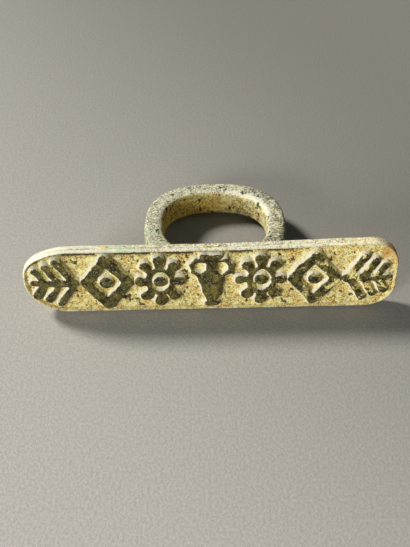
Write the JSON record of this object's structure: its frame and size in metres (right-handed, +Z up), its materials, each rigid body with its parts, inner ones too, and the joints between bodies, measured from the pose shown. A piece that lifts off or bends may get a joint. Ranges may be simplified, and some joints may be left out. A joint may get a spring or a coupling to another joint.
{
  "type": "stamp seal",
  "caption": "Long round-ended cast bronze stamping plate with a low rim and ornaments in relief, and a finger ring on its back.",
  "frame": {"origin": "the point on the table under the middle of the whole seal's box, as it lies at rest", "axes": "+Z up from the table, +X along the stamping plate to the viewer's right, +Y from the stamping plate back to the finger ring"},
  "size_m": [0.066, 0.0292, 0.0144],
  "materials": {
    "plate_bronze": "matte ochre earth and pale green patina over bronze",
    "ring_bronze": "matte grey-green patina, with golden earth inside the ring",
    "relief_bronze": "dark olive bronze, rubbed smooth on top"
  },
  "bodies": {
    "root": {"face_plate": "plate_bronze", "border_rim": "plate_bronze", "finger_ring": "ring_bronze", "ring_foot_left": "ring_bronze", "ring_foot_right": "ring_bronze", "amphora": "relief_bronze", "rosette_left": "relief_bronze", "rosette_right": "relief_bronze", "rosette_boss_left": "relief_bronze", "rosette_boss_right": "relief_bronze", "lozenge_left": "relief_bronze", "lozenge_right": "relief_bronze", "lozenge_pellet_left": "relief_bronze", "lozenge_pellet_right": "relief_bronze", "palm_branch_left": "relief_bronze", "palm_branch_right": "relief_bronze"}
  },
  "joints": []
}
